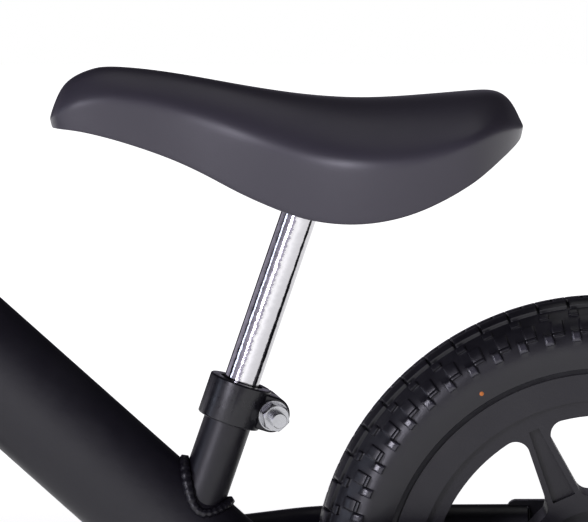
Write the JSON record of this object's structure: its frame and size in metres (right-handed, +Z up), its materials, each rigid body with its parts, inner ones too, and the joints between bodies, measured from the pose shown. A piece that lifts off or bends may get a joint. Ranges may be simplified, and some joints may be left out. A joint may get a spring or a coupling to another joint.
{
  "type": "balance bike",
  "caption": "Child's pedal-less balance bike with 12-inch moulded wheels, sloping oval main tube, long saddle on a clamped chrome post and a free-turning fork with a T-shaped handlebar.",
  "frame": {"origin": "on the ground, midway between the two wheels, in the bike's middle plane", "axes": "+X to the rear, +Y to the bike's right side, +Z up; the bike faces -X"},
  "size_m": [0.854, 0.419, 0.571],
  "materials": {
    "frame_paint": "black powder coat, satin",
    "clamp_paint": "black paint, semi-gloss",
    "chrome": "bright chrome plate on steel",
    "zinc": "zinc plated steel",
    "bearing_steel": "ground bearing steel",
    "wheel_plastic": "black moulded polypropylene, satin",
    "trim_plastic": "black moulded plastic",
    "tread_rubber": "matt black moulded rubber",
    "tube_rubber": "soft black rubber",
    "grip_rubber": "soft matt rubber",
    "saddle_skin": "smooth black integral-skin foam, satin"
  },
  "bodies": {
    "frame": {"head_tube": "frame_paint", "headset_lower_bearing": "bearing_steel", "headset_lower_cup": "clamp_paint", "headset_upper_bearing": "bearing_steel", "headset_upper_cup": "clamp_paint", "main_tube": "frame_paint", "main_tube_end_cap": "trim_plastic", "rear_axle": "zinc", "rear_axle_nuts": "zinc", "rear_axle_washers": "zinc", "rear_dropout_left": "frame_paint", "rear_dropout_right": "frame_paint", "rear_hub_spacer": "zinc", "rear_locknuts": "zinc", "seat_clamp": "clamp_paint", "seat_clamp_bolt": "zinc", "seat_clamp_nut": "zinc", "seat_clamp_washers": "zinc", "seat_tube": "frame_paint", "seat_tube_sleeve": "trim_plastic", "stay_left": "frame_paint", "stay_right": "frame_paint"},
    "saddle": {"seat_post": "chrome", "seat_post_plug": "trim_plastic", "saddle_bracket": "frame_paint", "saddle_screws": "zinc", "saddle_base": "trim_plastic", "saddle_cover": "saddle_skin"},
    "handlebar": {"handlebar": "frame_paint", "handlebar_stem": "frame_paint", "grip_left": "grip_rubber", "grip_right": "grip_rubber"},
    "fork": {"fork_blade_left": "frame_paint", "fork_blade_right": "frame_paint", "fork_crown": "frame_paint", "fork_dropout_left": "frame_paint", "fork_dropout_right": "frame_paint", "fork_steerer": "frame_paint", "front_axle": "zinc", "front_axle_nuts": "zinc", "front_axle_washers": "zinc", "front_hub_spacer": "zinc", "front_locknuts": "zinc", "headset_adjusting_nut": "clamp_paint", "headset_crown_race": "clamp_paint", "headset_lock_washer": "clamp_paint", "headset_locknut": "clamp_paint", "stem_clamp": "clamp_paint", "stem_clamp_bolt": "zinc", "stem_clamp_nut": "zinc", "stem_clamp_washers": "zinc"},
    "front_wheel": {"front_wheel": "wheel_plastic", "front_tyre": "tread_rubber", "front_inner_tube": "tube_rubber", "front_wheel_bearings": "bearing_steel"},
    "rear_wheel": {"rear_wheel": "wheel_plastic", "rear_tyre": "tread_rubber", "rear_inner_tube": "tube_rubber", "rear_wheel_bearings": "bearing_steel"}
  },
  "joints": [
    {"name": "rear_wheel_spin", "type": "hinge", "parent": "frame", "child": "rear_wheel", "pos_m": [0.275, 0, 0.152], "axis": [0, 1, 0], "continuous": true},
    {"name": "steering", "type": "hinge", "parent": "frame", "child": "fork", "pos_m": [-0.16267, 0, 0.3729], "axis": [0.342, 0, 0.9397], "continuous": true},
    {"name": "front_wheel_spin", "type": "hinge", "parent": "fork", "child": "front_wheel", "pos_m": [-0.275, 0, 0.152], "axis": [0, 1, 0], "continuous": true},
    {"name": "handlebar_height", "type": "slide", "parent": "fork", "child": "handlebar", "axis": [0.342, 0, 0.9397], "range_m": [-0.035, 0.045]},
    {"name": "seat_height", "type": "slide", "parent": "frame", "child": "saddle", "axis": [0.3256, 0, 0.9455], "range_m": [-0.045, 0.015]}
  ]
}
